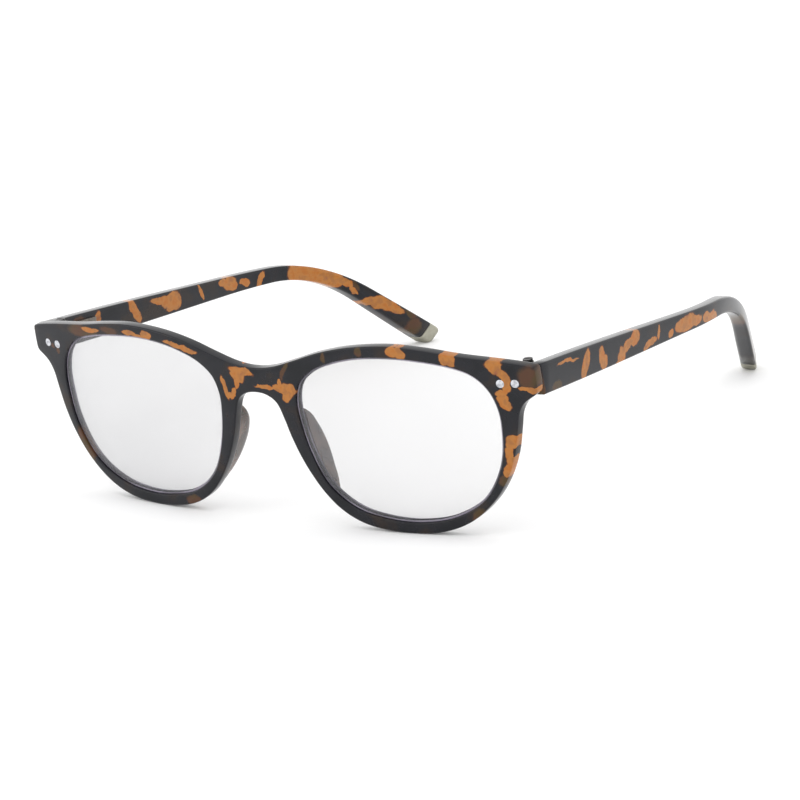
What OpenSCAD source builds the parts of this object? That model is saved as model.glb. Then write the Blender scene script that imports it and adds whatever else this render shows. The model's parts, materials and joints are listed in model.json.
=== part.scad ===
// Reading glasses with two temples that fold in behind the front. Millimetres.
// Every sub-part is drawn in the front's own frame: X across, Y from the front
// face back along the temples, Z up the face, with x = 0 the middle of the bridge
// and z = 0 the middle of the lens openings. stand() then leans the whole assembly
// so that it rests on its rims and on its temple tips.

/* [Front] */
// Lean of the face, its top forward of upright
lean = 3.29; // [3:0.01:4.2]
// Radius of the wrap of the face, about an upright axis behind it
wrap_r = 292; // [260:2:340]
// Thickness of the front
rim_t = 2.8; // [2.6:0.1:3.2]
// Half of the width across the end pieces
half_w = 69.2; // [68.5:0.1:71]

/* [Lenses] */
// Depth of the lens' front face behind the rim's
lens_in = 0.6; // [0.5:0.1:0.7]
// Thickness of the lens
lens_t = 1.6; // [1.2:0.1:1.7]
// Depth of the groove that holds the lens' edge
groove = 0.5; // [0.3:0.1:0.7]
// Clearance of the lens in its groove
lens_gap = 0.04; // [0.02:0.01:0.08]

/* [Nose pads] */
// How far a pad stands behind the rim
pad_out = 4.8; // [3:0.1:5.5]
// Radius of the pad's back, seen from the side
pad_r = 14; // [13:0.5:20]

/* [Temples] */
// Thickness of a temple's straight part
temple_t = 2.9; // [2.8:0.1:3.4]
// Thickness at the tip
tip_t = 3.9; // [3:0.1:4.2]
// Length of a temple along its middle line, from the seam to the tip
temple_l = 134; // [130:0.5:138]
// Fall of the straight part below the face's normal
fall = 8.6; // [7:0.1:10]
// Fall of the ear part
ear_fall = 46.4; // [42:0.1:50]
// Length of the straight part
straight_l = 82; // [78:1:86]
// Radius of the ear bend, seen from the side
bend_r = 44; // [36:1:48]
// Half height at the seam, at the slimmest place and at the tip
heights = [3.5, 1.8, 2.3]; // [1.6:0.05:3.6]
// Inward turn of the straight part and of the ear part, seen from above
turns = [1.7, 27.8]; // [1:0.1:32]
// Radius of the inward curve, seen from above
curve_r = 97; // [80:1:105]
// Length of the metal tip cap
cap_l = 3.6; // [3:0.1:6]

/* [Hinges] */
// Radius of a hinge knuckle
knuckle_r = 1.3; // [1.1:0.05:1.35]
// Height of each of the three knuckles
knuckle_h = 2; // [1.8:0.1:2]
// Thickness of the hinge leaves
leaf_t = 1; // [0.8:0.05:1]
// Radius of the hinge screw
screw_r = 0.6; // [0.5:0.05:0.7]
// Play of the temple's knuckle on the screw and between its neighbours
play = 0.04; // [0.02:0.01:0.06]
// Gap between the end piece and the temple
seam = 0.05; // [0.03:0.01:0.1]

/* [Show] */
// Node to draw

/* [Hidden] */

$fn = 96;
wrap_fn = 720;

// where the assembly stands: middle of its depth on y = 0, lowest points on z = 0
y_shift = -67.065;
z_lift = 25.377;

// hinge: the pin is upright in the face, just inside the temple
pin = [half_w - temple_t - 1.5, 13];
pin_z = 10;
knuckle_z = [pin_z - 1.5 * knuckle_h, pin_z - 0.5 * knuckle_h, pin_z + 0.5 * knuckle_h];
rivet_x = [61.3, 64.6];
rivet_z = 10;
front_leaf_x = [59.9, 65.1];
rivet_r = 0.55;
rivet_head_r = 0.95;

// temple: seam end of its middle line, seen from the side as [y, z]
root = [10, 10.1];
// and the outer face at the seam, seen from above as [x, y]
root_out = [half_w + 0.05, 10];
plan_l = 67;
temple_rivet_s = [8, 13];
wire_s = [17.5, 64];
slim_s = 100;
wire_r = 0.6;

// half outlines of the face as [x, z], each with one guide point before and after
lower_edge = [
    [-2.85, 5.1], [0, 5.45], [2.85, 5], [5.2, 3.4], [6.6, 0], [7.8, -4.1], [9.5, -8.6],
    [11.7, -12.9], [14.6, -17.2], [18.4, -21], [23.5, -23.8], [30, -25.2], [37.5, -25.5],
    [44.5, -24.6], [50.8, -21.9], [56.3, -17.2], [60.1, -11.7], [62.5, -5.9], [63.8, -0.3],
    [64.5, 2.9], [65.7, 5.1], [67.4, 6.5], [half_w - 0.4, 7.1], [half_w + 1.6, 7.3]
];
upper_edge = [
    [half_w + 1.6, 13.5], [half_w - 0.3, 13.8], [62, 14.9], [52, 16.1], [44, 17.3], [36, 18],
    [26, 17.4], [18, 15.8], [10.6, 13.4], [5.2, 11.8], [0, 11.2], [-5.2, 11.8]
];
// lens opening on the +X side as [x, z], counterclockwise
opening_points = [
    [60.3, 0], [59.9, 4.5], [58.2, 8.6], [54.9, 11.8], [50.3, 13.55], [43.1, 14.8],
    [34.5, 15.4], [26, 14.8], [19, 13], [15, 11.1], [11.9, 8.2], [10.6, 4.2], [10.7, 0],
    [12.4, -8], [15.9, -15.4], [22.4, -20.5], [30.4, -22.6], [38.5, -22.9],
    [46.8, -21.3], [54.3, -16.8], [59, -8.9]
];

// smooth curves through a few points -------------------------------------------

function unit(v) = v / norm(v);

// direction of the curve at b, between its neighbours a and c
function along(a, b, c) = unit((b - a) / norm(b - a) ^ 0.5 + (c - b) / norm(c - b) ^ 0.5);

function between(a, b, ta, tb, u) = let (d = norm(b - a))
    (2 * u ^ 3 - 3 * u ^ 2 + 1) * a + (u ^ 3 - 2 * u ^ 2 + u) * d * ta
    + (3 * u ^ 2 - 2 * u ^ 3) * b + (u ^ 3 - u ^ 2) * d * tb;

// open curve from the second point to the last but one
function open_curve(p, n) = [
    for (i = [1:len(p) - 3])
        for (k = [0:n - 1])
            between(p[i], p[i + 1], along(p[i - 1], p[i], p[i + 1]),
                along(p[i], p[i + 1], p[i + 2]), k / n),
    p[len(p) - 2]
];

// closed curve through all the points
function closed_curve(p, n) = let (m = len(p)) [
    for (i = [0:m - 1])
        for (k = [0:n - 1])
            between(p[i], p[(i + 1) % m], along(p[(i + m - 1) % m], p[i], p[(i + 1) % m]),
                along(p[i], p[(i + 1) % m], p[(i + 2) % m]), k / n)
];

// a counterclockwise loop moved outward by d
function grown(loop, d) = let (m = len(loop)) [
    for (i = [0:m - 1])
        let (t = unit(loop[(i + 1) % m] - loop[(i + m - 1) % m]))
            loop[i] + d * [t[1], -t[0]]
];

function mirrored(p) = [for (i = [len(p) - 1:-1:0]) [-p[i][0], p[i][1]]];

face_half = concat(
    open_curve(lower_edge, 3),
    [[half_w + 0.1, 7.9], [half_w + 0.15, 10.6], [half_w + 0.1, 13.2]],
    open_curve(upper_edge, 3)
);
face_outline = concat(face_half, mirrored(face_half));
opening = closed_curve(opening_points, 3);

// frames and stock --------------------------------------------------------------

// from the front's frame to the standing glasses
module stand() {
    translate([0, y_shift, z_lift])
        rotate([lean, 0, 0])
            children();
}

// the +X side as drawn, the -X side mirrored
module side(s) {
    stand()
        if (s > 0)
            children();
        else
            mirror([1, 0, 0])
                children();
}

// an [x, z] outline as a slab through the whole depth of the front
module slab(outline) {
    translate([0, 40, 0])
        rotate([90, 0, 0])
            linear_extrude(50)
                polygon(outline);
}

// all that lies deeper than d behind the wrapped face
module deeper(d) {
    translate([0, wrap_r, -60])
        cylinder(r = wrap_r - d, h = 120, $fn = wrap_fn);
}

// the layer of the wrap between two depths
module layer(d0, d1) {
    difference() {
        deeper(d0);
        deeper(d1);
    }
}

// square to the face at x, z, with the depth as the children's own z
module on_face(x, z) {
    translate([0, wrap_r, z])
        rotate([0, 0, asin(x / wrap_r)])
            translate([0, -wrap_r, 0])
                rotate([-90, 0, 0])
                    children();
}

// front -------------------------------------------------------------------------

module rivet_bores() {
    for (x = rivet_x)
        on_face(x, rivet_z) {
            translate([0, 0, -1])
                cylinder(r = rivet_head_r, h = 1.5);
            cylinder(r = rivet_r, h = rim_t + leaf_t + 1);
        }
}

module half_cuts() {
    slab(opening);
    intersection() {
        slab(grown(opening, groove));
        layer(lens_in - lens_gap, lens_in + lens_t + lens_gap);
    }
    rivet_bores();
}

module front_frame() {
    color([0.22, 0.19, 0.18])
        stand()
            difference() {
                intersection() {
                    slab(face_outline);
                    layer(0, rim_t);
                }
                half_cuts();
                mirror([1, 0, 0])
                    half_cuts();
            }
}

module lens(s) {
    color([0.86, 0.88, 0.88, 0.4])
        side(s)
            intersection() {
                slab(grown(opening, groove - lens_gap));
                layer(lens_in, lens_in + lens_t);
            }
}

// pad outline on the back of the nasal rim as [x, z], counterclockwise
pad_points = [
    [10.4, 1.2], [8.2, 0.9], [7.6, -2.2], [9, -6.4], [10.8, -10.2], [12.7, -13.8],
    [14.7, -16.8], [16.3, -18.2], [15.9, -16.4], [14, -12.8], [12.6, -8.6], [11.4, -3.6]
];

module nose_pad(s) {
    color([0.46, 0.39, 0.35, 0.75])
        side(s)
            intersection() {
                slab(closed_curve(pad_points, 3));
                deeper(rim_t);
                translate([0, rim_t + pad_out - pad_r, -8.4])
                    rotate([0, 90, 0])
                        cylinder(r = pad_r, h = 30);
            }
}

module front_rivets(s) {
    color([0.8, 0.82, 0.84])
        side(s)
            for (x = rivet_x)
                on_face(x, rivet_z) {
                    translate([0, 0, -0.1])
                        cylinder(r = rivet_head_r, h = 0.6);
                    cylinder(r = rivet_r, h = rim_t + leaf_t);
                    translate([0, 0, rim_t + leaf_t])
                        cylinder(r = rivet_head_r, h = 0.25);
                }
}

// hinges ------------------------------------------------------------------------

module knuckle(z, h) {
    translate([pin[0], pin[1], z])
        cylinder(r = knuckle_r, h = h);
}

module pin_bore(r) {
    translate([pin[0], pin[1], 0])
        cylinder(r = r, h = 30);
}

// leaf riveted to the back of the end piece, with the outer two knuckles
module front_hinge(s) {
    color([0.3, 0.28, 0.26])
        side(s)
            difference() {
                union() {
                    intersection() {
                        layer(rim_t, rim_t + leaf_t);
                        translate([front_leaf_x[0], 0, pin_z - 2.6])
                            cube([front_leaf_x[1] - front_leaf_x[0], 30, 5.2]);
                    }
                    for (z = [knuckle_z[0], knuckle_z[2]]) {
                        knuckle(z, knuckle_h);
                        intersection() {
                            deeper(rim_t);
                            translate([pin[0] - 2.4, 0, z])
                                cube([2.4, pin[1], knuckle_h]);
                        }
                    }
                }
                pin_bore(screw_r);
                rivet_bores();
            }
}

module hinge_screw(s) {
    color([0.25, 0.24, 0.24])
        side(s)
            translate([pin[0], pin[1], knuckle_z[0]])
                difference() {
                    union() {
                        cylinder(r = screw_r, h = 3 * knuckle_h);
                        translate([0, 0, 3 * knuckle_h])
                            cylinder(r = 1.1, h = 0.7);
                    }
                    translate([-2, -0.15, 3 * knuckle_h + 0.4])
                        cube([4, 0.3, 1]);
                }
}

// at distance s down the straight part, on the temple's inner face: x out of the
// face towards the other temple, y along the temple, z up
module on_inner_face(s) {
    translate([root_out[0], root_out[1], root[1]])
        rotate([0, 0, turns[0]])
            translate([-temple_t, 0, 0])
                rotate([-fall, 0, 0])
                    translate([0, s, 0])
                        children();
}

// leaf riveted to the temple's inner face, with the middle knuckle
module temple_hinge(s) {
    color([0.3, 0.28, 0.26])
        side(s)
            difference() {
                union() {
                    knuckle(knuckle_z[1] + play, knuckle_h - 2 * play);
                    intersection() {
                        translate([pin[0], pin[1], knuckle_z[1] + play])
                            cube([1.5, 4, knuckle_h - 2 * play]);
                        on_inner_face(0)
                            translate([-5, 0, -5])
                                cube([5, 20, 10]);
                    }
                    on_inner_face(5)
                        translate([-0.9, 0, -2.1])
                            cube([0.9, 10.8, 4.2]);
                }
                pin_bore(screw_r + play);
                temple_rivet_bores();
            }
}

module temple_rivet_bores() {
    for (s = temple_rivet_s)
        on_inner_face(s)
            translate([-2, 0, 0])
                rotate([0, 90, 0])
                    cylinder(r = rivet_r, h = 4);
}

module temple_rivets(s) {
    color([0.8, 0.82, 0.84])
        side(s)
            for (d = temple_rivet_s)
                on_inner_face(d) {
                    translate([-0.9, 0, 0])
                        rotate([0, 90, 0])
                            cylinder(r = rivet_r, h = 2.9);
                    translate([-1.15, 0, 0])
                        rotate([0, 90, 0])
                            cylinder(r = 0.85, h = 0.25);
                }
}

// temples -----------------------------------------------------------------------

// middle line seen from the side, as [y, z] at distance s from the seam
bend_l = bend_r * (ear_fall - fall) * PI / 180;
function fall_at(s) = fall + (ear_fall - fall) * min(max((s - straight_l) / bend_l, 0), 1);
function down(a) = [cos(a), -sin(a)];
function up_from(a) = [sin(a), cos(a)];
bend_start = root + straight_l * down(fall);
bend_middle = bend_start - bend_r * up_from(fall);
bend_end = bend_middle + bend_r * up_from(ear_fall);
function middle(s) =
    s < straight_l ? root + s * down(fall)
    : s < straight_l + bend_l ? bend_middle + bend_r * up_from(fall_at(s))
    : bend_end + (s - straight_l - bend_l) * down(ear_fall);

// half height at distance s: slimmest just before the bend
function ease(u) = u * u * (3 - 2 * u);
function half_height(s) = s < slim_s
    ? heights[0] + (heights[1] - heights[0]) * ease(s / slim_s)
    : heights[1] + (heights[2] - heights[1]) * ease((s - slim_s) / (temple_l - slim_s));

edge_s = [0, 12, 24, 36, 48, 60, 72, 82, 86, 90, 94, 98, 102, 106, 111, 117, 124, temple_l - 1.6];
tip = middle(temple_l);
function side_edge(sign) = [
    for (s = edge_s)
        middle(s) + sign * half_height(s) * up_from(fall_at(s))
];
tip_corner = 1.5;
function tip_round(sign) = [
    for (a = [20, 45, 70, 90])
        tip + (heights[2] - tip_corner + tip_corner * cos(a)) * sign * up_from(ear_fall)
            + tip_corner * (sin(a) - 1) * down(ear_fall)
];
function backward(p) = [for (i = [len(p) - 1:-1:0]) p[i]];
side_outline = concat(side_edge(-1), tip_round(-1), backward(tip_round(1)), backward(side_edge(1)));

// outer face seen from above, as [x, y]
function across(b) = [cos(b), sin(b)];
function ahead(b) = [-sin(b), cos(b)];
curve_start = root_out + plan_l * ahead(turns[0]);
curve_middle = curve_start - curve_r * across(turns[0]);
curve_end = curve_middle + curve_r * across(turns[1]);
function plan_edge(t, t_end) = concat(
    [root_out - t * across(turns[0])],
    [
        for (i = [0:8])
            let (b = turns[0] + (turns[1] - turns[0]) * i / 8)
                curve_middle + (curve_r - t - (t_end - t) * i / 8) * across(b)
    ],
    [curve_end + 45 * ahead(turns[1]) - t_end * across(turns[1])]
);
plan_outline = concat(plan_edge(0, 0), backward(plan_edge(temple_t, tip_t)));

module temple_stock() {
    intersection() {
        rotate([90, 0, 90])
            linear_extrude(90)
                polygon(side_outline);
        translate([0, 0, -60])
            linear_extrude(90)
                polygon(plan_outline);
        deeper(rim_t + seam);
    }
}

// all that lies beyond distance s down the ear part
module beyond(s) {
    m = middle(s);
    translate([0, m[0], m[1]])
        rotate([-ear_fall, 0, 0])
            translate([0, 0, -20])
                cube([90, 40, 40]);
}

// on the middle of the ear part's thickness where the cap begins, z on to the tip
module at_cap() {
    m = middle(temple_l - cap_l);
    b = turns[1];
    reach = (m[0] - curve_end[1]) / cos(b);
    x = curve_end[0] - reach * sin(b) - tip_t / 2 / cos(b);
    translate([x, m[0], m[1]])
        rotate([0, 0, b])
            rotate([-90 - ear_fall, 0, 0])
                children();
}

module temple(s) {
    color([0.24, 0.2, 0.19])
        side(s)
            difference() {
                temple_stock();
                beyond(temple_l - cap_l);
                temple_rivet_bores();
                core_bore();
                at_cap()
                    translate([0, 0, -4])
                        cylinder(r = 0.7, h = 6);
            }
}

module core_bore() {
    on_inner_face(wire_s[0])
        translate([temple_t / 2, 0, 0])
            rotate([-90, 0, 0])
                cylinder(r = wire_r, h = wire_s[1] - wire_s[0]);
}

module core_wire(s) {
    color([0.7, 0.71, 0.72])
        side(s)
            core_bore();
}

module tip_cap(s) {
    color([0.78, 0.76, 0.68])
        side(s) {
            intersection() {
                temple_stock();
                beyond(temple_l - cap_l);
            }
            at_cap()
                translate([0, 0, -4])
                    cylinder(r = 0.7, h = 5);
        }
}

front_frame();
lens(-1);  // lens_left
lens(1);  // lens_right
nose_pad(-1);  // nose_pad_left
nose_pad(1);  // nose_pad_right
front_rivets(-1);  // front_rivets_left
front_rivets(1);  // front_rivets_right
front_hinge(-1);  // front_hinge_left
front_hinge(1);  // front_hinge_right
hinge_screw(-1);  // hinge_screw_left
hinge_screw(1);  // hinge_screw_right
temple(-1);  // temple_left
temple(1);  // temple_right
temple_hinge(-1);  // temple_hinge_left
temple_hinge(1);  // temple_hinge_right
temple_rivets(-1);  // temple_rivets_left
temple_rivets(1);  // temple_rivets_right
core_wire(-1);  // core_wire_left
core_wire(1);  // core_wire_right
tip_cap(-1);  // tip_cap_left
tip_cap(1);  // tip_cap_right
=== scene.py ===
"""Reading glasses in tortoiseshell acetate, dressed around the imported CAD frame.

Lengths below are millimetres in the front's own frame: X across, Y from the face back
along the temples, Z up the face, x = 0 the middle of the bridge and z = 0 the middle of
the lenses. TO_ROW leans that frame and carries it into the row frame, in metres.
"""

import json
import math

import bmesh
import bpy
from mathutils import Matrix, Vector
from mathutils.geometry import delaunay_2d_cdt


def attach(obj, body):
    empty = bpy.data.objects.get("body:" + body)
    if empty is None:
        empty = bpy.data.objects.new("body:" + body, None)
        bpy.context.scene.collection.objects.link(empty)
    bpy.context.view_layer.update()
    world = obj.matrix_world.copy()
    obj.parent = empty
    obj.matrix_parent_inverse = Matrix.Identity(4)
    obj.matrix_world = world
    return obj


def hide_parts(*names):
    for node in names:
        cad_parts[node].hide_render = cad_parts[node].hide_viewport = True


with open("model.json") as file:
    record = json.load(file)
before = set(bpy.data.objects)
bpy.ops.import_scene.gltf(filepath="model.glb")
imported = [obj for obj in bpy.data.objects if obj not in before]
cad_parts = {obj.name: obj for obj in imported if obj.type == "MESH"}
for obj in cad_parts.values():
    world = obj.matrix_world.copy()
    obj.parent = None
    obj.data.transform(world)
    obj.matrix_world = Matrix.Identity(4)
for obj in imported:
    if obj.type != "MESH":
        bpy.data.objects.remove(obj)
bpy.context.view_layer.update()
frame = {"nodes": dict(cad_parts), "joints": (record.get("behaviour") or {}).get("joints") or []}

# --- sizes, as in the CAD ----------------------------------------------------------

MM = 0.001
HALF_W = 69.2  # middle to the outer end of an end piece
WRAP_R = 292.0  # curve of the face, seen from above
RIM_T = 2.8
LENS_IN = 0.6  # depth of the lens's face behind the rim's
LENS_T = 1.6
PAD_OUT, PAD_R, PAD_Z = 4.8, 14.0, -8.4  # how far back, its arc, and the arc's middle
TEMPLE_T = 2.9
TIP_T = 3.9
TEMPLE_L = 134.0
STRAIGHT_L = 82.0  # from the root to the ear bend
FALL, EAR_FALL = math.radians(8.6), math.radians(46.4)
BEND_R = 44.0
HEIGHTS = (3.5, 1.8, 2.3)  # half heights at the root, at the slimmest place and at the tip
SLIM_S = 100.0  # distance of the slimmest place from the root
TURNS = (math.radians(1.7), math.radians(27.8))  # toe-in before and after the head curve
CURVE_R = 97.0
CURVE_START_L = 67.0
CAP_L = 3.6
LEAF_T = 1.0
ROOT = (10.0, 10.1)  # (y, z) where the right temple's middle line starts
ROOT_OUT = (HALF_W + 0.05, 10.0)  # (x, y) where its outer face starts
PIN = Vector((HALF_W - TEMPLE_T - 1.5, 13.0, 10.0))
RIVETS = ((61.3, 10.0), (64.6, 10.0))
SEAM = 0.05  # gap between an end piece and its temple

hinge = next(j for j in frame["joints"] if j["name"] == "right_temple_fold")
LEAN = math.atan2(-hinge["axis"][1], hinge["axis"][2])
TURN = Matrix.Rotation(LEAN, 4, "X")
SHIFT = Vector(hinge["pos_m"]) - TURN @ (PIN * MM)
TO_ROW = Matrix.Translation(SHIFT) @ TURN @ Matrix.Scale(MM, 4)

# --- outlines ----------------------------------------------------------------------

LOWER_EDGE = [
    (-2.85, 5.1), (0, 5.45), (2.85, 5), (5.2, 3.4), (6.6, 0), (7.8, -4.1), (9.5, -8.6),
    (11.7, -12.9), (14.6, -17.2), (18.4, -21), (23.5, -23.8), (30, -25.2), (37.5, -25.5),
    (44.5, -24.6), (50.8, -21.9), (56.3, -17.2), (60.1, -11.7), (62.5, -5.9), (63.8, -0.3),
    (64.5, 2.9), (65.7, 5.1), (67.3, 6.45), (HALF_W - 0.7, 7.2), (HALF_W - 0.1, 7.9),
    (HALF_W + 0.08, 9.2), (HALF_W + 0.08, 12.2), (HALF_W - 0.05, 13.3), (HALF_W - 0.6, 13.75),
    (67.6, 14),
]
UPPER_EDGE = [
    (HALF_W - 0.6, 13.75), (67.6, 14), (62, 14.9), (52, 16.1), (44, 17.3), (36, 18),
    (26, 17.4), (18, 15.8), (10.6, 13.4), (5.2, 11.8), (0, 11.2), (-5.2, 11.8),
]
OPENING = [
    (60.3, 0), (59.9, 4.5), (58.2, 8.6), (54.9, 11.8), (50.3, 13.55), (43.1, 14.8),
    (34.5, 15.4), (26, 14.8), (19, 13), (15, 11.1), (11.9, 8.2), (10.6, 4.2), (10.7, 0),
    (12.4, -8), (15.9, -15.4), (22.4, -20.5), (30.4, -22.6), (38.5, -22.9),
    (46.8, -21.3), (54.3, -16.8), (59, -8.9),
]


def along(a, b, c):
    """Direction of a smooth curve at b, between its neighbours a and c."""
    p, q = b - a, c - b
    return (p / math.sqrt(p.length) + q / math.sqrt(q.length)).normalized()


def between(a, b, ta, tb, u):
    """A smooth curve from a to b that leaves along ta and arrives along tb."""
    d = (b - a).length
    return (
        (2 * u**3 - 3 * u**2 + 1) * a
        + (u**3 - 2 * u**2 + u) * d * ta
        + (3 * u**2 - 2 * u**3) * b
        + (u**3 - u**2) * d * tb
    )


def open_curve(points, n):
    """A curve from the second point to just before the last but one, n steps a stretch."""
    p = [Vector(q) for q in points]
    out = []
    for i in range(1, len(p) - 2):
        ta, tb = along(*p[i - 1 : i + 2]), along(*p[i : i + 3])
        out += [between(p[i], p[i + 1], ta, tb, k / n) for k in range(n)]
    return out


def closed_curve(points, n):
    return open_curve([points[-1], *points, points[0], points[1]], n)


def mirrored(loop):
    return [Vector((-p.x, p.y)) for p in reversed(loop)]


def inset(loop, d):
    """A counterclockwise loop moved inward by d, or outward if d is negative."""
    out = []
    for i, p in enumerate(loop):
        t = (loop[(i + 1) % len(loop)] - loop[i - 1]).normalized()
        out.append(p + d * Vector((-t.y, t.x)))
    return out


# --- mesh tools --------------------------------------------------------------------


def depth_point(x, z, d):
    """The point at x, z that lies at depth d behind the wrapped face."""
    return Vector((x, WRAP_R - math.sqrt((WRAP_R - d) ** 2 - x * x), z))


def new_piece(name, bm, material, body, nodes, sharp=40, side=1):
    """A finished mesh in the row frame that stands for CAD nodes."""
    if side < 0:
        bmesh.ops.scale(bm, vec=(-1, 1, 1), verts=bm.verts)
        bmesh.ops.reverse_faces(bm, faces=bm.faces)
    bm.transform(TO_ROW)
    bmesh.ops.recalc_face_normals(bm, faces=bm.faces)
    mesh = bpy.data.meshes.new(name)
    bm.to_mesh(mesh)
    bm.free()
    mesh.polygons.foreach_set("use_smooth", [True] * len(mesh.polygons))
    mesh.set_sharp_from_angle(angle=math.radians(sharp))
    mesh.materials.append(material)
    obj = bpy.data.objects.new(name, mesh)
    bpy.context.scene.collection.objects.link(obj)
    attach(obj, body)
    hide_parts(*nodes)
    return obj


def bridge_rings(bm, a, b):
    n = len(a)
    for i in range(n):
        bm.faces.new((a[i], a[(i + 1) % n], b[(i + 1) % n], b[i]))


def inside(p, loops):
    """Even-odd test against all the loops."""
    odd = False
    for loop in loops:
        for i, a in enumerate(loop):
            b = loop[i - 1]
            if (a.y > p.y) != (b.y > p.y):
                if p.x < (b.x - a.x) * (p.y - a.y) / (b.y - a.y) + a.x:
                    odd = not odd
    return odd


def fill(bm, rings, loops, place, step):
    """Fills the region between the loops, whose vertices are the rings, with a net of even
    triangles set by place(x, z)."""
    points, edges = [], []
    for loop in loops:
        start = len(points)
        points += loop
        edges += [(start + i, start + (i + 1) % len(loop)) for i in range(len(loop))]
    lo_x, hi_x = min(p.x for p in points), max(p.x for p in points)
    lo_z, hi_z = min(p.y for p in points), max(p.y for p in points)
    border = list(points)
    clear, rise = step * 0.6, step * 0.87
    row = 0
    z = lo_z
    while z < hi_z:
        x = lo_x + step / 2 * (row % 2)
        while x < hi_x:
            p = Vector((x, z))
            near = any(abs(q.x - x) < clear and (q - p).length < clear for q in border)
            if not near and inside(p, loops):
                points.append(p)
            x += step
        z += rise
        row += 1
    verts, _, faces, origin, _, _ = delaunay_2d_cdt(points, edges, [], 0, 1e-5)
    known = [v for ring in rings for v in ring]
    made = []
    for p, ids in zip(verts, origin):
        first = min(ids) if ids else None
        if first is not None and first < len(known):
            made.append(known[first])
        else:
            made.append(bm.verts.new(place(p.x, p.y)))
    for f in faces:
        middle = sum((verts[i] for i in f), Vector((0, 0))) / len(f)
        if inside(middle, loops):
            bm.faces.new([made[i] for i in f])


def plate(loops, profiles, step, wall=0):
    """A wrapped plate. loops are the outer outline and its holes, each counterclockwise;
    profiles give for each loop the (inset into the material, depth) of its rings, and
    wall is the material number of the faces between those rings."""
    bm = bmesh.new()
    ends = []
    for k, (loop, profile) in enumerate(zip(loops, profiles)):
        sign = 1 if k == 0 else -1
        rings, outlines = [], []
        for d, depth in profile:
            outline = inset(loop, sign * d)
            outlines.append(outline)
            rings.append([bm.verts.new(depth_point(p.x, p.y, depth)) for p in outline])
        for a, b in zip(rings, rings[1:]):
            bridge_rings(bm, a, b)
        ends.append((rings, outlines))
    for f in bm.faces:
        f.material_index = wall
    for k in (0, -1):
        depth = profiles[0][k][1]
        rims, lines = [e[0][k] for e in ends], [e[1][k] for e in ends]
        fill(bm, rims, lines, lambda x, z: depth_point(x, z, depth), step)
    return bm


def rounded_edge(front_r, back_r, middle=(), n=5):
    """Rings of a wall from the face to the back, with both edges rounded."""
    out = []
    for k in range(n + 1):
        a = math.pi / 2 * k / n
        out.append((front_r * (1 - math.sin(a)), front_r * (1 - math.cos(a))))
    out += middle
    for k in range(n + 1):
        a = math.pi / 2 * k / n
        out.append((back_r * (1 - math.cos(a)), RIM_T - back_r * (1 - math.sin(a))))
    return out


def add_skin(bm, rings):
    """A closed skin through rings of points, with both ends closed by a fan."""
    made = [[bm.verts.new(p) for p in ring] for ring in rings]
    for a, b in zip(made, made[1:]):
        bridge_rings(bm, a, b)
    for ring in (made[0], made[-1]):
        middle = bm.verts.new(sum((v.co for v in ring), Vector()) / len(ring))
        for i, v in enumerate(ring):
            bm.faces.new((v, ring[(i + 1) % len(ring)], middle))


def loft(rings):
    bm = bmesh.new()
    add_skin(bm, rings)
    return bm


# --- materials ---------------------------------------------------------------------


def new_material(name, **values):
    """A principled material with its constants set on the shader's own sockets."""
    mat = bpy.data.materials.new(name)
    mat.use_nodes = True
    shader = mat.node_tree.nodes["Principled BSDF"]
    for key, value in values.items():
        shader.inputs[key.replace("_", " ")].default_value = value
    return mat, mat.node_tree, shader


def node(tree, kind, settings=None, **inputs):
    """A new node. Inputs are sockets to link or values to set, by name or as _number."""
    n = tree.nodes.new(kind)
    for key, value in (settings or {}).items():
        setattr(n, key, value)
    for key, value in inputs.items():
        socket = n.inputs[int(key[1:])] if key[1:].isdigit() else n.inputs[key]
        if isinstance(value, bpy.types.NodeSocket):
            tree.links.new(value, socket)
        else:
            socket.default_value = value
    return n


def front_mm(tree):
    """Coordinates in the front's frame, in millimetres, fixed to the piece."""
    coords = tree.nodes.new("ShaderNodeTexCoord")
    place = node(tree, "ShaderNodeMapping", {"vector_type": "TEXTURE"})
    tree.links.new(coords.outputs["Object"], place.inputs["Vector"])
    place.inputs["Location"].default_value = SHIFT
    place.inputs["Rotation"].default_value = (LEAN, 0, 0)
    place.inputs["Scale"].default_value = (MM, MM, MM)
    return place.outputs["Vector"]


def noise(tree, where, scale, detail=2.0, out="Fac"):
    n = node(tree, "ShaderNodeTexNoise", Vector=where, Scale=scale, Detail=detail)
    return n.outputs[out]


def ramp(tree, value, stops):
    """A colour for each value, through stops of (position, colour)."""
    n = node(tree, "ShaderNodeValToRGB", Fac=value)
    n.color_ramp.interpolation = "EASE"
    while len(n.color_ramp.elements) < len(stops):
        n.color_ramp.elements.new(0.5)
    for e, (at, colour) in zip(n.color_ramp.elements, stops):
        e.position = at
        e.color = (*colour, 1)
    return n.outputs["Color"]


def polish(tree, shader, where, height):
    """The slight waviness and fine haze of polished plastic or metal."""
    waves = noise(tree, where, 0.12, 1.0)
    haze = noise(tree, where, 3.0, 4.0)
    both = node(tree, "ShaderNodeMath", {"operation": "MULTIPLY_ADD"}, _0=haze, _1=0.06, _2=waves)
    bump = node(tree, "ShaderNodeBump", Strength=height, Distance=0.0004, Height=both.outputs[0])
    tree.links.new(bump.outputs["Normal"], shader.inputs["Normal"])
    return haze


AMBER = (0.38, 0.125, 0.019)
HONEY = (0.39, 0.15, 0.03)
PALE = (0.32, 0.125, 0.03)
CHESTNUT = (0.26, 0.09, 0.035)
RUST = (0.09, 0.027, 0.01)
DARK = (0.0035, 0.0042, 0.0065)
INK = (0.008, 0.0085, 0.012)
UMBER = (0.02, 0.013, 0.01)
SMOKE = (0.074, 0.03, 0.013)
OLIVE = (0.058, 0.034, 0.01)
THROUGH = 400.0  # half length of a patch along the axis that it runs through
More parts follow.
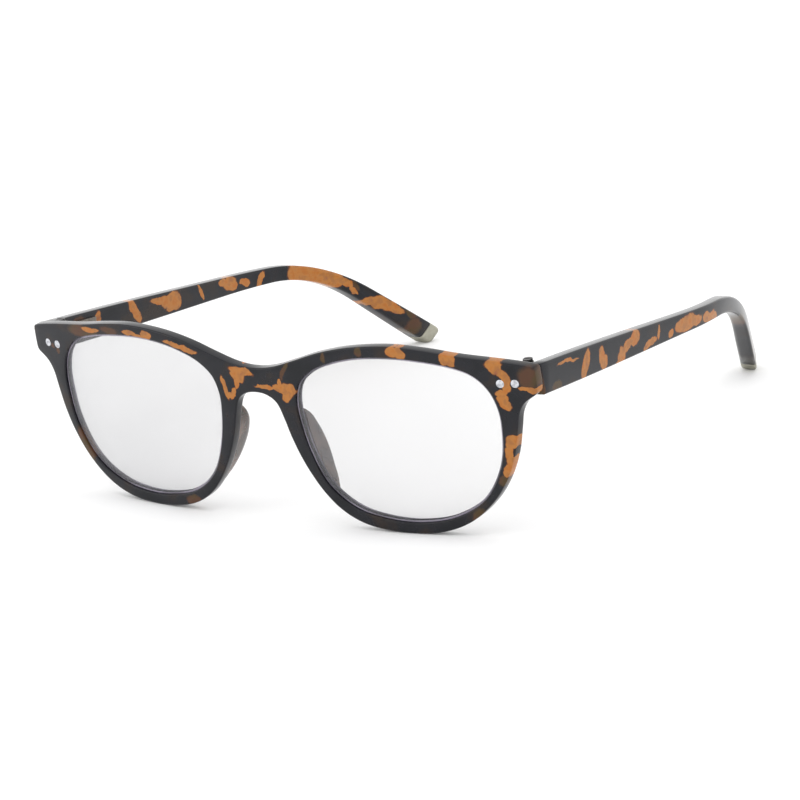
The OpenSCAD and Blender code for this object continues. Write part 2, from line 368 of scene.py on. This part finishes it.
# nearness at which a tone starts and is full
AMBER_EDGE, RUST_EDGE, SMOKE_EDGE = (1.2, 1.06), (1.34, 1.16), (1.35, 0.8)


def nearness(tree, where, patches, flat_axis):
    """Least distance to a patch's middle, 1 at its border. A patch is (first, z, half
    length, half width, turn in degrees); it runs right through the flat axis."""
    least = None
    for first, z, length, width, turn in patches:
        place = node(tree, "ShaderNodeMapping", {"vector_type": "TEXTURE"}, Vector=where)
        if flat_axis == "Y":
            place.inputs["Location"].default_value = (first, 0, z)
            place.inputs["Rotation"].default_value = (0, -math.radians(turn), 0)
            place.inputs["Scale"].default_value = (length, THROUGH, width)
        else:
            place.inputs["Location"].default_value = (0, first, z)
            place.inputs["Rotation"].default_value = (math.radians(turn), 0, 0)
            place.inputs["Scale"].default_value = (THROUGH, length, width)
        far = node(tree, "ShaderNodeVectorMath", {"operation": "LENGTH"}, _0=place.outputs[0])
        value = far.outputs["Value"]
        if least is not None:
            lower = node(tree, "ShaderNodeMath", {"operation": "MINIMUM"}, _0=least, _1=value)
            value = lower.outputs[0]
        least = value
    return least


def shifted(tree, where, scale, detail, reach):
    """Coordinates stirred by noise, by up to about a quarter of reach."""
    stir = noise(tree, where, scale, detail, "Color")
    half = (0.5, 0.5, 0.5)
    even = node(tree, "ShaderNodeVectorMath", {"operation": "SUBTRACT"}, _0=stir, _1=half)
    moved = node(
        tree, "ShaderNodeVectorMath", {"operation": "MULTIPLY_ADD"},
        _0=even.outputs[0], _1=(reach, reach, reach), _2=where,
    )
    return moved.outputs[0]


def threshold(tree, value, start, end):
    """0 at start and 1 at end, with a soft passage."""
    n = node(tree, "ShaderNodeMapRange", {"interpolation_type": "SMOOTHSTEP"}, Value=value)
    n.inputs["From Min"].default_value = start
    n.inputs["From Max"].default_value = end
    return n.outputs[0]


def scaled(tree, value, low, high):
    """low where the value is 0 and high where it is 1."""
    n = node(tree, "ShaderNodeMapRange", None, Value=value)
    n.inputs["To Min"].default_value = low
    n.inputs["To Max"].default_value = high
    return n.outputs[0]


def mix(tree, fac, a, b):
    n = node(tree, "ShaderNodeMix", {"data_type": "RGBA"}, _0=fac, _6=a, _7=b)
    return n.outputs[2]


def tortoiseshell(name, amber, smoke, flat_axis):
    """Dark polished acetate with amber patches and faint smoky ones."""
    mat, tree, shader = new_material(
        name, Roughness=0.16, IOR=1.49, Specular_IOR_Level=0.25, Coat_Weight=0.12,
        Coat_Roughness=0.04,
    )
    mm = front_mm(tree)
    where = shifted(tree, shifted(tree, mm, 0.25, 1.0, 1.4), 0.8, 2.0, 0.9)
    body = ramp(tree, noise(tree, mm, 0.13, 3.0), [(0.35, DARK), (0.52, INK), (0.68, UMBER)])
    grain = noise(tree, where, 0.45, 3.0)
    tone = ramp(tree, grain, [(0.36, AMBER), (0.5, HONEY), (0.62, PALE), (0.74, CHESTNUT)])
    dim = ramp(tree, noise(tree, mm, 0.2, 2.0), [(0.4, SMOKE), (0.6, OLIVE)])
    smoky = threshold(tree, nearness(tree, where, smoke, flat_axis), *SMOKE_EDGE)
    ground = mix(tree, smoky, body, dim)
    near = nearness(tree, where, amber, flat_axis)
    edge = mix(tree, threshold(tree, near, *RUST_EDGE), ground, (*RUST, 1))
    colour = mix(tree, threshold(tree, near, *AMBER_EDGE), edge, tone)
    tree.links.new(colour, shader.inputs["Base Color"])
    polish(tree, shader, mm, 0.1)
    return mat


# patches as they lie on the face, (x, z, half length, half width, turn)
FRONT_AMBER = [
    (-48.6, 15.5, 2.7, 0.5, 0), (-35.7, 16.3, 1.9, 0.6, -4), (-33, 15.6, 1.6, 0.45, -5),
    (-30.2, 16.2, 1.4, 1, -10), (-21.5, 14.9, 3, 0.5, -9), (-18, 14.1, 2.6, 0.65, -14),
    (-3.3, 10.2, 2.9, 0.85, -9), (-4.3, 9, 1.8, 1.3, -25), (-4.8, 7.8, 1.3, 0.7, 75),
    (-8.6, 5.9, 2.3, 0.6, -75), (-6.3, 5, 1.5, 0.6, 60), (-7.3, 4.4, 1.1, 0.6, 0),
    (3.4, 7, 2.9, 0.4, -3), (6.2, 6.9, 1.3, 0.9, -20), (8.6, 6.5, 1.5, 1.6, 0),
    (8.4, 5.2, 1, 1.2, 0), (9.9, 6.9, 1, 1.2, 20), (6.9, 8.2, 0.5, 0.9, 0),
    (37.2, 16.8, 1.2, 1.2, 0), (38.8, 16.8, 1.2, 1.2, 0), (49.1, 15.4, 1, 1.4, 0),
    (50.5, 15.3, 1, 1.3, 0), (60.1, 14.3, 1.6, 1.1, 0), (60.2, 13.4, 1.7, 0.9, -15),
    (61.8, 12.3, 1.8, 0.75, -35), (62.8, 10.9, 0.8, 1.5, 0), (62.6, 9.2, 0.8, 1.2, 0),
    (61.3, 7.8, 1.3, 0.7, 0), (61.4, 6.4, 1.1, 1.2, 0), (61.9, 4.9, 1.3, 0.9, -30),
    (67, 8.7, 1.6, 0.4, -3), (69, 8.3, 1.7, 0.6, -5), (62.3, -2.8, 1.3, 0.9, 0),
    (61.9, -3.8, 1.1, 0.9, 0), (61.1, -5.8, 0.7, 1.6, 0), (61.5, -8, 0.95, 1.4, 10),
    (60.7, -10, 0.8, 1.5, -20),
]
FRONT_SMOKE = [
    (67.8, 11.2, 2.4, 2.4, 0), (-51, 14.6, 4.5, 1.5, 0), (-61.7, 8.6, 0.6, 0.8, 0),
    (-63.2, 9.7, 0.5, 0.6, 0), (8.8, 11.2, 2.5, 0.5, 60), (19.6, 14.9, 0.6, 1.1, 0),
    (28.6, 16.5, 0.7, 1, 0), (59.2, -12.4, 1, 1.2, -30), (52.4, -20.7, 1.9, 1.2, 35),
    (-57, -14.2, 1.6, 4, 25), (-23.5, -23, 2.1, 1.3, 12), (-42, 16, 2.5, 1, 0),
]
# and on the temples, (y, z, half length, half width, turn)
RIGHT_AMBER = [
    (22, 10.2, 4, 0.35, -11), (29, 6.7, 3, 1.2, 55), (36, 6.4, 1.9, 1.1, 85),
    (36.6, 4.7, 1.4, 1.5, 0), (50.8, 5.3, 1.9, 1.4, 30), (47.3, 4.8, 2.2, 1, 20),
    (44, 3.1, 1.9, 1.4, 55), (42.6, 2, 1.3, 1, 0), (61.2, 2.6, 1.6, 0.5, 65),
    (57.3, 1.7, 2.4, 0.75, 0), (55.5, 1.3, 1.6, 0.8, 10), (66.5, 0.6, 1.1, 0.8, 40),
    (71.5, 0.6, 2.6, 1.4, -8), (75, 0.3, 3, 1.5, -8), (78.3, -0.3, 2.4, 1.1, -12),
    (83.8, -1.7, 1.8, 1.2, -15), (87.2, -2.2, 1.9, 1, -20),
]
RIGHT_SMOKE = [
    (16.5, 6.4, 1.8, 1.2, 0), (10.6, 8.5, 0.9, 3, 0), (81, -1, 2, 0.8, -15),
    (110, -12, 3, 1, -40), (124, -24, 4, 1.2, -47),
]
LEFT_AMBER = [
    (27.4, 8.8, 1.6, 1, 70), (40.4, 6, 3, 1.2, -66), (50.5, 5.4, 3.6, 0.9, -12),
    (53.8, 4, 3.2, 1.6, -10), (55.5, 3.3, 1.9, 1.9, 0), (54, 2.4, 2, 0.9, 0),
    (65, 2.2, 1.9, 0.5, -70), (74.2, 1.7, 1.9, 0.8, -10), (76.2, 0.8, 2.1, 1.5, -15),
    (76.9, -0.3, 1.7, 1, -10), (81.4, -0.8, 1.5, 0.85, -20), (87, -1.8, 1.9, 0.8, 50),
    (98.6, -3.9, 2.5, 2.4, -15), (101.5, -4.9, 3.2, 2.5, -22), (105.5, -6.9, 3.2, 2.3, -30),
    (108.6, -8.9, 2.4, 1.9, -38), (111.6, -10.6, 2.2, 0.9, -42), (113.3, -13.2, 1.5, 0.5, -60),
    (117, -17.2, 1.9, 1, -15), (119.3, -18.4, 2.3, 1.4, -35), (121.6, -20.4, 2.6, 1.2, -33),
    (123.2, -21.8, 1.7, 0.7, -30),
]
LEFT_SMOKE = [
    (126.4, -23.9, 1.6, 0.8, -45), (126.8, -27.2, 1.9, 2.1, -45), (20, 10, 2.4, 1.2, 0),
    (113.6, -12.4, 1.4, 1, -50),
]


def metal(name, colour, roughness, shade):
    """Metal with a fine haze and patches of tarnish, shade times its colour."""
    mat, tree, shader = new_material(name, Metallic=1.0)
    mm = front_mm(tree)
    tarnish = [c * shade for c in colour]
    stain = ramp(tree, noise(tree, mm, 1.4, 3.0), [(0.3, tarnish), (0.65, colour)])
    tree.links.new(stain, shader.inputs["Base Color"])
    haze = polish(tree, shader, mm, 0.1)
    rough = scaled(tree, haze, roughness * 0.8, roughness * 1.3)
    tree.links.new(rough, shader.inputs["Roughness"])
    return mat


def clear_lens():
    """Coated plastic: nearly clear face on; at a slant, a faint pale mauve sheen painted into its
    colour, and it grows less clear.
    """
    mat, tree, shader = new_material("lens_clear", Roughness=0.03, IOR=1.5)
    mm = front_mm(tree)
    greys = [(0.3, (0.3, 0.3, 0.32)), (0.7, (0.34, 0.34, 0.36))]
    tint = ramp(tree, noise(tree, mm, 0.05, 1.0), greys)
    slant = node(tree, "ShaderNodeLayerWeight", Blend=0.35).outputs["Facing"]
    # painted sheen: the base colour turns pale mauve toward grazing views and the alpha rises with
    # it, in place of a reflection
    painted_sheen = mix(tree, threshold(tree, slant, 0.5, 0.9), tint, (0.62, 0.59, 0.68, 1))
    tree.links.new(painted_sheen, shader.inputs["Base Color"])
    tree.links.new(scaled(tree, slant, 0.06, 0.7), shader.inputs["Alpha"])
    polish(tree, shader, mm, 0.02)
    return mat


def ground_edge():
    """Frosted bevel round a lens, pale mauve-grey."""
    mat, tree, shader = new_material("lens_edge", Roughness=0.4, IOR=1.5)
    mm = front_mm(tree)
    mauves = [(0.4, (0.16, 0.15, 0.18)), (0.6, (0.34, 0.31, 0.38))]
    tint = ramp(tree, noise(tree, mm, 0.08, 1.0), mauves)
    tree.links.new(tint, shader.inputs["Base Color"])
    polish(tree, shader, mm, 0.05)
    return mat


def smoky_pad():
    """Translucent grey-brown acetate."""
    mat, tree, shader = new_material(
        "pad_smoke", Roughness=0.25, IOR=1.49, Coat_Weight=0.2, Coat_Roughness=0.08,
        Subsurface_Weight=0.3, Subsurface_Scale=0.002,
    )
    mm = front_mm(tree)
    browns = [(0.35, (0.05, 0.033, 0.025)), (0.65, (0.13, 0.088, 0.068))]
    tint = ramp(tree, noise(tree, mm, 0.25, 2.0), browns)
    tree.links.new(tint, shader.inputs["Base Color"])
    slant = node(tree, "ShaderNodeLayerWeight", Blend=0.4).outputs["Facing"]
    tree.links.new(scaled(tree, slant, 0.86, 0.98), shader.inputs["Alpha"])
    polish(tree, shader, mm, 0.1)
    return mat


shell_front = tortoiseshell("shell_front", FRONT_AMBER, FRONT_SMOKE, "Y")
shell_right = tortoiseshell("shell_right", RIGHT_AMBER, RIGHT_SMOKE, "X")
shell_left = tortoiseshell("shell_left", LEFT_AMBER, LEFT_SMOKE, "X")
lens_clear = clear_lens()
lens_edge = ground_edge()
pad_smoke = smoky_pad()
silver = metal("rivet_silver", (0.66, 0.67, 0.71), 0.3, 0.6)
gunmetal = metal("hinge_gunmetal", (0.2, 0.18, 0.16), 0.34, 0.6)
black_steel = metal("screw_black", (0.1, 0.095, 0.095), 0.3, 0.6)
wire = metal("wire_steel", (0.66, 0.67, 0.68), 0.3, 0.8)
champagne = metal("cap_champagne", (0.38, 0.37, 0.305), 0.34, 0.88)

# --- front and lenses --------------------------------------------------------------

half = open_curve(LOWER_EDGE, 6) + open_curve(UPPER_EDGE, 6)
outline = half + mirrored(half)
opening = closed_curve(OPENING, 6)
opening_left = mirrored(opening)

groove = [(0, 0.72), (-0.5, 1.4), (0, 2.08)]
front = plate(
    [outline, opening, opening_left],
    [rounded_edge(0.4, 0.6)] + [rounded_edge(0.3, 0.5, groove)] * 2,
    step=1.5,
)
new_piece("rims_and_bridge", front, shell_front, "front", ["front_frame"])


def lens_mesh():
    """A lens with a bevelled edge that sits in the rim's groove, its wall material 1."""
    edge = [(0.42, LENS_IN), (0.03, 0.72), (-0.44, 1.4), (0.03, 2.04), (0.3, LENS_IN + LENS_T)]
    return plate([opening], [edge], step=3.0, wall=1)


# --- nose pads ---------------------------------------------------------------------

PAD = [
    (10.4, 1.2), (8.2, 0.9), (7.6, -2.2), (9, -6.4), (10.8, -10.2), (12.7, -13.8),
    (14.7, -16.8), (16.3, -18.2), (15.9, -16.4), (14, -12.8), (12.6, -8.6), (11.4, -3.6),
]


PAD_WITHIN = 0.02  # how far the pad lies inside its outline and its arc
PAD_ROOTED = 0.05  # how far it is sunk in the rim
PAD_EASE = 0.42  # width of the rounding on its edge
PAD_SINK = 0.4  # share of its thickness that the rounding takes
PAD_STEP = 0.7


def pad_base(x, z):
    return depth_point(x, z, RIM_T - PAD_ROOTED)


def pad_crown(x, z, sink=0.0):
    y = RIM_T + PAD_OUT - PAD_R + math.sqrt(PAD_R**2 - (z - PAD_Z) ** 2)
    return Vector((x, y - PAD_WITHIN - sink * (y - pad_base(x, z).y), z))


def pad_mesh():
    """A pad on the back of the rim, its back one long arc with eased edges."""
    loop = closed_curve(PAD, 4)
    foot = inset(loop, PAD_WITHIN)
    bm = bmesh.new()
    rings = [[bm.verts.new(pad_base(p.x, p.y)) for p in foot]]
    for k in range(6):
        a = math.pi / 2 * k / 5
        top = inset(loop, PAD_WITHIN + PAD_EASE * (1 - math.cos(a)))
        sink = PAD_SINK * (1 - math.sin(a))
        rings.append([bm.verts.new(pad_crown(p.x, p.y, sink)) for p in top])
    for a, b in zip(rings, rings[1:]):
        bridge_rings(bm, a, b)
    fill(bm, [rings[0]], [foot], pad_base, PAD_STEP)
    fill(bm, [rings[-1]], [top], pad_crown, PAD_STEP)
    return bm


# --- temples -----------------------------------------------------------------------

EDGE_R, TIP_EDGE_R = 0.45, 0.65  # rounding of the long edges, at the root and at the ear
CAP_EDGE_R = 0.66
CAP_END_R = 1.5
CAP_SEAM = 0.14  # depth of the fine line where the cap meets the temple

bend_l = BEND_R * (EAR_FALL - FALL)


def down(a):
    """The way along a line that falls by the angle a, as (y, z)."""
    return Vector((math.cos(a), -math.sin(a)))


def up_from(a):
    """The way square to that line, upward."""
    return Vector((math.sin(a), math.cos(a)))


bend_start = Vector(ROOT) + STRAIGHT_L * down(FALL)
bend_middle = bend_start - BEND_R * up_from(FALL)
bend_end = bend_middle + BEND_R * up_from(EAR_FALL)


def fall_at(s):
    return FALL + (EAR_FALL - FALL) * min(max((s - STRAIGHT_L) / bend_l, 0), 1)


def middle_at(s):
    """Middle line seen from the side, as (y, z)."""
    if s < STRAIGHT_L:
        return Vector(ROOT) + s * down(FALL)
    if s < STRAIGHT_L + bend_l:
        return bend_middle + BEND_R * up_from(fall_at(s))
    return bend_end + (s - STRAIGHT_L - bend_l) * down(EAR_FALL)


def ease(u):
    return u * u * (3 - 2 * u)


def half_height(s):
    if s < SLIM_S:
        return HEIGHTS[0] + (HEIGHTS[1] - HEIGHTS[0]) * ease(max(s, 0) / SLIM_S)
    share = min((s - SLIM_S) / (TEMPLE_L - SLIM_S), 1)
    return HEIGHTS[1] + (HEIGHTS[2] - HEIGHTS[1]) * ease(share)


def across(b):
    """The way out of a face that is toed in by the angle b, as (x, y)."""
    return Vector((math.cos(b), math.sin(b)))


def ahead(b):
    """The way along that face, toward the ear."""
    return Vector((-math.sin(b), math.cos(b)))


curve_start = Vector(ROOT_OUT) + CURVE_START_L * ahead(TURNS[0])
curve_middle = curve_start - CURVE_R * across(TURNS[0])
curve_end = curve_middle + CURVE_R * across(TURNS[1])


def outer_x(y, t):
    """x of the face that lies t inside the outer face, at y, seen from above."""
    if y < curve_start.y:
        return ROOT_OUT[0] - math.tan(TURNS[0]) * (y - ROOT_OUT[1]) - t / math.cos(TURNS[0])
    if y < curve_end.y:
        b = math.asin(min((y - curve_middle.y) / CURVE_R, 1))
        part = (b - TURNS[0]) / (TURNS[1] - TURNS[0])
        r = CURVE_R - t * (1 + (TIP_T / TEMPLE_T - 1) * part)
        return curve_middle.x + math.sqrt(r * r - (y - curve_middle.y) ** 2)
    inward = t * TIP_T / TEMPLE_T / math.cos(TURNS[1])
    return curve_end.x - math.tan(TURNS[1]) * (y - curve_end.y) - inward


def section(s, corner, cut=0.0, flat=1.0):
    """Rounded section of a temple at distance s, drawn in by cut above and below and by
    flat times cut on its broad faces."""
    m, a, h = middle_at(s), fall_at(s), half_height(s) - cut
    span = TEMPLE_T - 2 * corner - 2 * cut * flat
    ring = []
    for cx, cu, start in ((1, 1, 0), (0, 1, 90), (0, -1, 180), (1, -1, 270)):
        for k in range(5):
            turn = math.radians(start + 22.5 * k)
            u = cu * (h - corner) + corner * math.sin(turn)
            v = corner + cut * flat + (1 - cx) * span - corner * math.cos(turn)
            p = m + u * up_from(a)
            ring.append(Vector((outer_x(p.x, v), p.x, p.y)))
    return ring


def at_seam(ring, gap):
    """The ring slid along the temple until it lies gap behind the end piece."""
    out = []
    for p in ring:
        wall = depth_point(p.x, 0, RIM_T + SEAM).y + gap
        slide = (wall - p.y) / math.cos(FALL)
        out.append(p + slide * Vector((0, math.cos(FALL), -math.sin(FALL))))
    return out


def temple_mesh():
    """A temple from its square root, eased at the seam, to the cap."""
    rings = [
        at_seam(section(1, 0.35, 0.25), 0),
        at_seam(section(1, 0.4, 0.07), 0.07),
        at_seam(section(1, EDGE_R), 0.25),
    ]
    end = TEMPLE_L - CAP_L
    stations = [4 + 3 * k for k in range(26)]
    stations += [STRAIGHT_L + 1.5 * k for k in range(19)]
    stations += [110 + 2.5 * k for k in range(7)] + [end - 0.25]
    for s in stations:
        share = ease(min(max((s - 70) / 30, 0), 1))
        rings.append(section(s, EDGE_R + (TIP_EDGE_R - EDGE_R) * share))
    rings.append(section(end, 0.6, CAP_SEAM))
    return loft(rings)


def cap_mesh():
    """The cap on a temple's end, its corners rounded off toward the tip."""
    start = TEMPLE_L - CAP_L
    rings = [section(start + 0.02, 0.6, CAP_SEAM)]
    rings += [section(start + 0.16 + 0.37 * k, CAP_EDGE_R, 0.01) for k in range(6)]
    for k in range(1, 9):
        a = math.pi / 2 * k / 8
        s = TEMPLE_L - CAP_END_R * (1 - math.sin(a)) - 0.03
        cut = 0.03 + CAP_END_R * (1 - math.cos(a))
        corner = CAP_EDGE_R - 0.3 * (1 - math.cos(a))
        rings.append(section(s, corner, cut, 0.45))
    return loft(rings)


# --- rivets ------------------------------------------------------------------------


LEAF_BACK = RIM_T + LEAF_T
# (radius, depth behind the face) of a rivet's rings, from the dimple to the tail
RIVET = [
    (0.18, -0.03), (0.36, -0.035), (0.46, -0.085), (0.66, -0.09), (0.84, -0.06), (0.93, 0),
    (0.95, 0.08), (0.95, 0.5), (0.55, 0.5), (0.55, LEAF_BACK), (0.9, LEAF_BACK),
    (0.93, LEAF_BACK + 0.08), (0.8, LEAF_BACK + 0.2), (0.4, LEAF_BACK + 0.245),
]
RIVET_SIDES = 32


def rivet_mesh():
    """Both rivets of one side: a domed head with a shallow dimple, shank and tail."""
    bm = bmesh.new()
    for x, z in RIVETS:
        place = (
            Matrix.Translation((0, WRAP_R, z))
            @ Matrix.Rotation(math.asin(x / WRAP_R), 4, "Z")
            @ Matrix.Translation((0, -WRAP_R, 0))
        )
        rings = []
        for r, depth in RIVET:
            turns = [2 * math.pi * j / RIVET_SIDES for j in range(RIVET_SIDES)]
            rings.append([place @ Vector((r * math.cos(a), depth, r * math.sin(a))) for a in turns])
        add_skin(bm, rings)
    return bm


for side, word in ((1, "right"), (-1, "left")):
    arm = "temple_arm_" + word
    shell = shell_right if side > 0 else shell_left
    lens = new_piece(
        "lens_body_" + word, lens_mesh(), lens_clear, "front", ["lens_" + word], 30, side
    )
    lens.data.materials.append(lens_edge)
    new_piece(
        "pad_" + word, pad_mesh(), pad_smoke, "front", ["nose_pad_" + word], 60, side
    )
    new_piece(
        "rivets_" + word, rivet_mesh(), silver, "front", ["front_rivets_" + word], 50, side
    )
    new_piece(
        "arm_" + word, temple_mesh(), shell, arm, ["temple_" + word], 50, side
    )
    new_piece(
        "cap_" + word, cap_mesh(), champagne, arm, ["tip_cap_" + word], 50, side
    )

# --- carried-over CAD metal parts ----------------------------------------------------


def dress(name, material, edge=0.0):
    """A CAD node keeps its shape and gets a material and, where it shows, eased edges."""
    obj = frame["nodes"][name]
    obj.data.materials.clear()
    obj.data.materials.append(material)
    if edge:
        bevel = obj.modifiers.new("eased_edges", "BEVEL")
        bevel.width = edge * MM
        bevel.segments = 2
        bevel.limit_method = "ANGLE"
        bevel.angle_limit = math.radians(40)


for word in ("left", "right"):
    dress("front_hinge_" + word, gunmetal, 0.1)
    dress("temple_hinge_" + word, gunmetal, 0.1)
    dress("hinge_screw_" + word, black_steel, 0.08)
    dress("temple_rivets_" + word, silver, 0.06)
    dress("core_wire_" + word, wire)

# --- floor, light and camera ---------------------------------------------------------


def pale_floor():
    mesh = bpy.data.meshes.new("floor")
    bm = bmesh.new()
    bmesh.ops.create_grid(bm, x_segments=1, y_segments=1, size=6)
    bm.to_mesh(mesh)
    bm.free()
    mat, tree, shader = new_material("floor_pale", Roughness=0.9)
    coords = tree.nodes.new("ShaderNodeTexCoord").outputs["Object"]
    whites = [(0.3, (0.93, 0.93, 0.93)), (0.7, (0.95, 0.95, 0.95))]
    tint = ramp(tree, noise(tree, coords, 2.0, 1.0), whites)
    tree.links.new(tint, shader.inputs["Base Color"])
    mesh.materials.append(mat)
    obj = bpy.data.objects.new("floor", mesh)
    bpy.context.scene.collection.objects.link(obj)


def soft_box(name, place, size, power):
    """A round lamp that points at the middle of the glasses."""
    aim = Vector((0, 0, 0.02))
    light = bpy.data.lights.new(name, "AREA")
    light.shape = "DISK"
    light.size = size
    light.energy = power
    obj = bpy.data.objects.new(name, light)
    obj.location = place
    obj.rotation_euler = (aim - Vector(place)).to_track_quat("-Z", "Y").to_euler()
    bpy.context.scene.collection.objects.link(obj)


pale_floor()
soft_box("light_above", (0.1, -0.1, 1.5), 1.8, 6.5)
soft_box("light_front_left", (-1.1, -1.1, 0.9), 1.0, 3)

world = bpy.data.worlds.new("studio")
bpy.context.scene.world = world
world.use_nodes = True
sky = world.node_tree
background = sky.nodes["Background"]
background.inputs["Color"].default_value = (1, 1, 1, 1)
# brighter near the horizon than overhead
direction = sky.nodes.new("ShaderNodeTexCoord").outputs["Generated"]
height = node(sky, "ShaderNodeSeparateXYZ", None, Vector=direction).outputs["Z"]
glow = scaled(sky, threshold(sky, height, 0.1, 0.6), 1.5, 0.96)
sky.links.new(glow, background.inputs["Strength"])

AZIMUTH, ELEVATION, ROLL = math.radians(36.2), math.radians(16.55), math.radians(-6.4)
DISTANCE = 0.87
AIM = Vector((0.0086, -0.0256, 0.0169))
back = Vector((
    math.sin(AZIMUTH) * math.cos(ELEVATION),
    -math.cos(AZIMUTH) * math.cos(ELEVATION),
    math.sin(ELEVATION),
))
camera = bpy.data.cameras.new("camera")
camera.lens = 170.5
camera.sensor_width = 36
camera.clip_start, camera.clip_end = 0.05, 20
camera_object = bpy.data.objects.new("camera", camera)
camera_object.location = AIM + back * DISTANCE
turn = (-back).to_track_quat("-Z", "Y").to_matrix() @ Matrix.Rotation(ROLL, 3, "Z")
camera_object.rotation_euler = turn.to_euler()
bpy.context.scene.collection.objects.link(camera_object)
bpy.context.scene.camera = camera_object
bpy.context.scene.view_settings.view_transform = "Standard"
